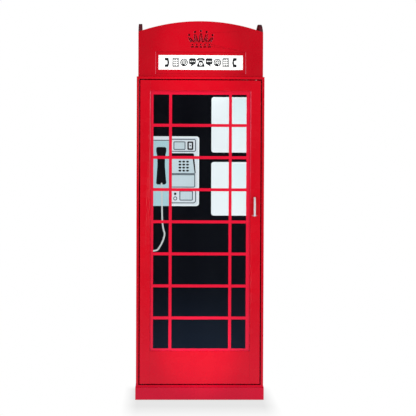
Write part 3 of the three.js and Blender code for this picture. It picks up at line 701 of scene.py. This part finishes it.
blacks = [
    handset(-186, 1025, 1203, 24, 17.5, 20),
    [(divide, 1158), (-38, 1158), (-27, 1079), (-22, 1079), *arc(-38, 1166, 8, 0, 90, 5), (divide, 1174)],
    disc(-119, 981, 6),
    *frame_of(-62, -34, 1190, 1230, 7, 5),
    bar(-51, 1210, -45, 1210, 5, False),
]
KEY_PITCH_X, KEY_PITCH_Z = 18, 14.3
blacks += [disc(-97 + KEY_PITCH_X * column, 1134 - KEY_PITCH_Z * row, 6.9, 0.66)
           for column in range(3) for row in range(4)]
layer("printed_phone_black", blacks, depth(4), LAYER, "ink_black", "door")

cord_path = smooth_path([(-184, 1030), (-182, 940), (-180, 856), (-175, 815), (-169, 790), (-176, 760),
                         (-189, 734), (-203, 714), (-226, 709)], 6)
layer("printed_cord", [ribbon(cord_path, 7.5)], depth(5), LAYER, "ink_cord", "door")


# ---------------------------------------------------------------- pictograms on the sign

sign_low, sign_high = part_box("sign_panel")
sign_front = sign_low.y / MM
sign_middle = (sign_low.z + sign_high.z) / 2 / MM
TALL = 21.5  # half the height of a pictogram


def picture_handset(cx, cz, mirror):
    """A receiver leaning to one side, as a bowed grip between two blocks."""
    bow = [(-5 + 9 * math.cos(math.radians(a)), 18 * math.sin(math.radians(a))) for a in range(-70, 71, 14)]
    grip = ribbon(bow, 7.5)
    upper = [(-12, TALL), (4, TALL), (6, 13), (3, 8), (-12, 10)]
    lower = [(x, -z) for x, z in upper[::-1]]
    return [moved(loop, cx, cz, mirror) for loop in (upper, lower, grip)]


def picture_dial(cx, cz):
    """A finger wheel: a ring of holes round a hub."""
    loops = [disc(cx, cz, 18), disc(cx, cz, 5.6), disc(cx, cz, 2.6, steps=14)]
    for i in range(9):
        a = math.radians(-60 + 33 * i)
        loops.append(disc(cx + 11.6 * math.cos(a), cz + 11.6 * math.sin(a), 2.7, steps=14))
    return loops


def picture_keypad(cx, cz):
    """Three by four keys in a case."""
    loops = frame_of(cx - 15.5, cx + 15.5, cz - TALL, cz + TALL, 3.2, 5)
    for i in range(3):
        for j in range(4):
            x, z = cx + 8 * (i - 1), cz + 9.4 * (j - 1.5)
            loops.append(rectangle(x - 2.6, x + 2.6, z - 2.9, z + 2.9, 1.2))
    return loops


def picture_bubble(cx, cz, mirror):
    """A speech bubble with three dots."""
    tail = [(-3, -8), (-11, -21), (6, -9)]
    body = rectangle(-16, 16, -9, 20, 7)
    cut = [p for p in body if not (-3 <= p[0] <= 6 and p[1] <= -9)]
    start = next(i for i, p in enumerate(cut) if p[0] > 0 and p[1] <= -8.9)
    outline = cut[start:] + cut[:start] + [(-4, -9), tail[1]]
    dots = [disc(8.5 * (i - 1), 5.5, 2.9, steps=14) for i in range(3)]
    return [moved(loop, cx, cz, mirror) for loop in (outline, *dots)]


def picture_desk_phone(cx, cz):
    """A desk telephone from the front: receiver on top of a spreading base with a dial."""
    receiver = [(-19, 9), (-19, 15), *arc(-9, 12, 9, 150, 90, 4), *arc(9, 12, 9, 90, 30, 4),
                (19, 15), (19, 9), (9, 9), (9, 13), (-9, 13), (-9, 9)]
    base = [(-8, 10), (8, 10), (9, 5), (18, -14), (18, -20.5), (-18, -20.5), (-18, -14), (-9, 5)]
    dial = [disc(cx, cz - 7, 8), disc(cx, cz - 7, 3.4, steps=16)]
    return [moved(receiver, cx, cz), moved(base, cx, cz), *dial]


PITCH, INK = 39.5, 0.25
LIFT = 0.03  # clearance between the ink and the panel
ROW = "hkdbtbdkh"  # handset, keypad, dial, bubble, telephone, and back
for i, kind in enumerate(ROW):
    spot, number = PITCH * (i - len(ROW) // 2), i + 1
    mirror = 1.0 if i < len(ROW) // 2 else -1.0
    if kind == "h":  # the grip overlaps the two blocks, so it is a layer of its own
        loops = picture_handset(spot, sign_middle, mirror)
        parts = {f"handset_{number}_blocks": loops[:2], f"handset_{number}_grip": loops[2:]}
    elif kind == "k":
        parts = {f"keypad_{number}": picture_keypad(spot, sign_middle)}
    elif kind == "d":
        parts = {f"dial_{number}": picture_dial(spot, sign_middle)}
    elif kind == "b":
        parts = {f"bubble_{number}": picture_bubble(spot, sign_middle, mirror)}
    else:
        parts = {f"telephone_{number}": picture_desk_phone(spot, sign_middle)}
    for level, (part, loops) in enumerate(parts.items(), 1):
        front = sign_front - LIFT - level * INK
        layer("sign_" + part, loops, front, INK, "sign_ink", "cabinet")


# ---------------------------------------------------------------- floor, light and camera

FLOOR_HALF = 14.0
SHADOW_AHEAD = (0.62, 0.20)  # in front of the plinth: where the soft shadow begins and is full
SHADOW_BESIDE, SHADOW_BEHIND = (-0.01, 0.06), (-0.02, 0.10)  # where it fades out at the sides and back
CONTACT_REACH = 0.05
FLOOR_FADE = (1.6, 9.5)  # distances from the middle over which the floor fades into the backdrop
OPEN_TONE, SHADOW_TONE, CONTACT_TONE = (1.0, 1.0, 1.0), (0.79, 0.79, 0.79), (0.62, 0.60, 0.60)
MIRRORED_TONE = (0.15, 0.31, 0.60)
FILL = 0.60


def make_floor():
    """A plain white studio floor with a soft shadow round the plinth. It fades out with distance."""
    mesh = bpy.data.meshes.new("floor")
    corners = [(x * FLOOR_HALF, y * FLOOR_HALF, 0) for x, y in ((-1, -1), (1, -1), (1, 1), (-1, 1))]
    mesh.from_pydata(corners, [], [(0, 1, 2, 3)])
    floor = bpy.data.objects.new("floor", mesh)
    bpy.context.scene.collection.objects.link(floor)
    t = Tree("studio_floor")
    foot_low, foot_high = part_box("plinth_front_board")
    rear_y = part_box("plinth_rear_board")[1].y
    spot = t.axes(t.place)
    beside = t.spread(t.maths("ABSOLUTE", spot["X"]), 1.0, 0.0, *(foot_high.x + d for d in SHADOW_BESIDE))
    ahead = t.spread(spot["Y"], 0.0, 1.0, *(foot_low.y - d for d in SHADOW_AHEAD))
    behind = t.spread(spot["Y"], 1.0, 0.0, *(rear_y + d for d in SHADOW_BEHIND))
    contact = t.add("ShaderNodeAmbientOcclusion", samples=12, Distance=CONTACT_REACH)
    tight = t.spread(contact.outputs["AO"], 0.6, 1.0, 0.3, 0.9)
    shade = t.mix(t.product(beside, ahead, behind), OPEN_TONE, SHADOW_TONE)
    shade = t.mix(tight, CONTACT_TONE, shade)
    shade = t.mix(t.spread(t.noise(30.0, 3.0), 0.0, 0.012), shade, (0.9, 0.9, 0.9))
    path = t.add("ShaderNodeLightPath")
    shade = t.mix(path.outputs["Is Glossy Ray"], shade, MIRRORED_TONE)
    glow = t.add("ShaderNodeEmission", {"Color": shade})
    clear = t.add("ShaderNodeBsdfTransparent")
    length = t.add("ShaderNodeVectorMath", {0: t.place}, operation="LENGTH")
    near = t.spread(length.outputs["Value"], 1.0, 0.0, *FLOOR_FADE)
    fade = t.maths("SUBTRACT", 1.0, t.product(near, near))
    both = t.add("ShaderNodeMixShader", {0: fade, 1: glow.outputs[0], 2: clear.outputs[0]})
    t.add("ShaderNodeOutputMaterial", {"Surface": both.outputs[0]})
    mesh.materials.append(t.material)


def make_world():
    """White to look at, a soft even fill on surfaces, and nearly dark in reflections."""
    world = bpy.data.worlds.new("studio")
    bpy.context.scene.world = world
    world.use_nodes = True
    tree = world.node_tree
    tree.nodes.clear()
    path = tree.nodes.new("ShaderNodeLightPath")

    def emitter(colour, strength):
        node = tree.nodes.new("ShaderNodeBackground")
        node.inputs["Color"].default_value = (*colour, 1.0)
        node.inputs["Strength"].default_value = strength
        return node.outputs[0]

    def choose(switch, no, yes):
        node = tree.nodes.new("ShaderNodeMixShader")
        tree.links.new(path.outputs[switch], node.inputs[0])
        tree.links.new(no, node.inputs[1])
        tree.links.new(yes, node.inputs[2])
        return node.outputs[0]

    fill = emitter((1.0, 0.985, 0.98), FILL)
    mirrored = choose("Is Glossy Ray", fill, emitter((0.7, 0.8, 1.0), 0.01))
    seen = choose("Is Camera Ray", mirrored, emitter((1.0, 1.0, 1.0), 1.0))
    out = tree.nodes.new("ShaderNodeOutputWorld")
    tree.links.new(seen, out.inputs["Surface"])


def add_light(name, kind, place, target, power, settings):
    """A lamp that shows neither itself nor its reflection."""
    light = bpy.data.lights.new(name, kind)
    light.energy = power
    for key, value in settings.items():
        setattr(light, key, value)
    obj = bpy.data.objects.new(name, light)
    obj.location = place
    obj.rotation_euler = (Vector(target) - Vector(place)).to_track_quat("-Z", "Y").to_euler()
    obj.visible_camera = False
    obj.visible_glossy = False
    bpy.context.scene.collection.objects.link(obj)


def panel(width, height):
    return {"shape": "RECTANGLE", "size": width, "size_y": height}


def pool(angle):
    return {"spot_size": math.radians(angle), "spot_blend": 1.0}


EYE = (-0.1715, -7.9057, 1.1189)
YAW, PITCH_DOWN, ROLL = (math.radians(a) for a in (1.5465, 1.5176, 0.2248))
LENS, SENSOR = 140.73, 36.0


def make_camera():
    """Eye level, a long lens, a little left of the middle."""
    camera = bpy.data.cameras.new("camera")
    camera.lens, camera.sensor_width = LENS, SENSOR
    camera.clip_start, camera.clip_end = 0.1, 60.0
    obj = bpy.data.objects.new("camera", camera)
    bpy.context.scene.collection.objects.link(obj)
    level = math.cos(PITCH_DOWN)
    ahead = Vector((math.sin(YAW) * level, math.cos(YAW) * level, -math.sin(PITCH_DOWN)))
    across = Vector((math.cos(YAW), -math.sin(YAW), 0.0))
    up = across.cross(ahead)
    side = across * math.cos(ROLL) + up * math.sin(ROLL)
    above = side.cross(ahead)
    turn = Matrix((side, above, -ahead)).transposed()
    obj.matrix_world = Matrix.Translation(EYE) @ turn.to_4x4()
    bpy.context.scene.camera = obj


make_floor()
make_world()
make_camera()
# Name, kind, place, what it points at, watts and shape. The pools light the sign and the foot.
add_light("key_top", "AREA", (0.0, -2.6, 3.9), (0.0, 0.0, 1.0), 10, panel(2.0, 1.0))
add_light("pool_crown", "SPOT", (-0.03, -2.0, 3.1), (-0.02, -0.18, 1.64), 120, pool(12))
add_light("pool_foot", "SPOT", (0.0, -1.6, 0.95), (0.0, -0.187, 0.25), 66, pool(17))
add_light("back_fill", "AREA", (0.6, 3.4, 2.6), (0.0, 0.2, 0.9), 50, panel(2.2, 1.6))
for side in (-1, 1):
    add_light(f"key_{side}", "AREA", (side * 1.5, -3.2, 1.0), (0.0, -0.18, 0.9), 40, panel(0.7, 1.6))
bpy.context.scene.view_settings.view_transform = "Standard"
